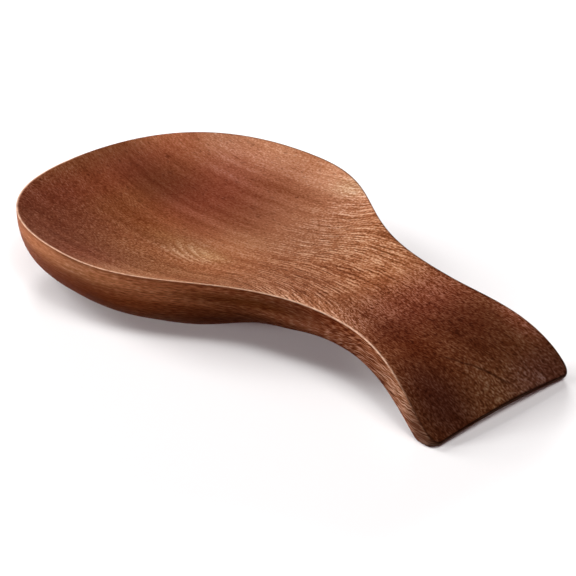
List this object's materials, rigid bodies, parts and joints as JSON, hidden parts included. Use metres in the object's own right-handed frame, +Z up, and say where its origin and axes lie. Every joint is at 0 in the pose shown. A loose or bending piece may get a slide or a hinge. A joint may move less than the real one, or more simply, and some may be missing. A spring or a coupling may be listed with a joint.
{
  "type": "spoon rest",
  "caption": "Carved wooden spoon rest: a broad shallow bowl for the spoon's head, a narrow neck, and a flared handle that arches down to the table.",
  "frame": {"origin": "middle of the part's outer box, on the table plane that the bowl's foot stands on", "axes": "+X from the bowl's tip to the handle's end, +Y across the part, +Z up out of the bowl"},
  "size_m": [0.2299, 0.133, 0.0286],
  "materials": {
    "wood": "satin oiled hardwood"
  },
  "bodies": {
    "root": {"spoon_rest_body": "wood"}
  },
  "joints": []
}
